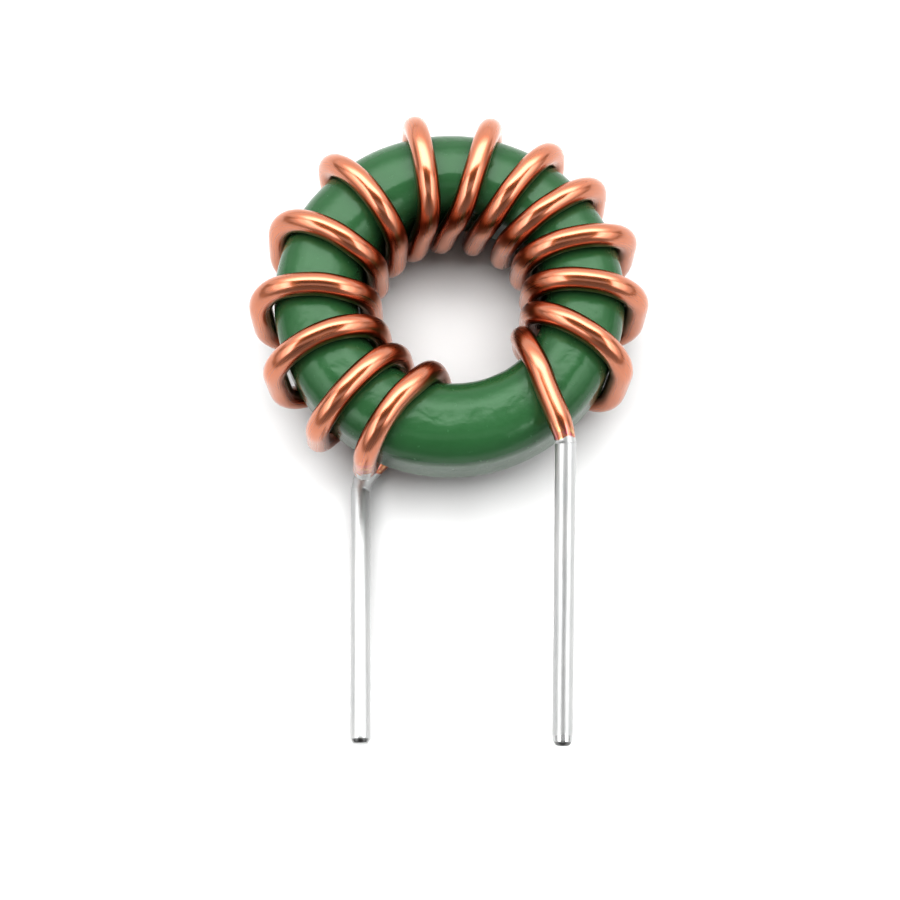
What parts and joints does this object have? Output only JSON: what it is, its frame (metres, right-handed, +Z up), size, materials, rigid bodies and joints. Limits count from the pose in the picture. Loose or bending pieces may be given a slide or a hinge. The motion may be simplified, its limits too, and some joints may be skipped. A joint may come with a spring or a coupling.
{
  "type": "toroidal inductor",
  "caption": "Coated ring core wound with a single layer of thick enamelled copper wire, whose two stripped and tinned ends leave side by side as straight pins.",
  "frame": {"origin": "centre of the bounding box's footprint, on the surface the part lies on", "axes": "+Z up, the ring lying almost flat; the two leads point towards -Y; +X to the right seen from above with the leads towards the viewer"},
  "size_m": [0.0198, 0.0314, 0.0084],
  "materials": {
    "core_coating": "smooth glossy green epoxy coating with a slightly uneven skin",
    "enamelled_copper": "clear-enamelled drawn copper, satin gloss",
    "tinned_copper": "bright solder-tinned wire, slightly wavy"
  },
  "bodies": {
    "root": {"core": "core_coating", "winding": "enamelled_copper", "left_lead": "tinned_copper", "right_lead": "tinned_copper"}
  },
  "joints": []
}
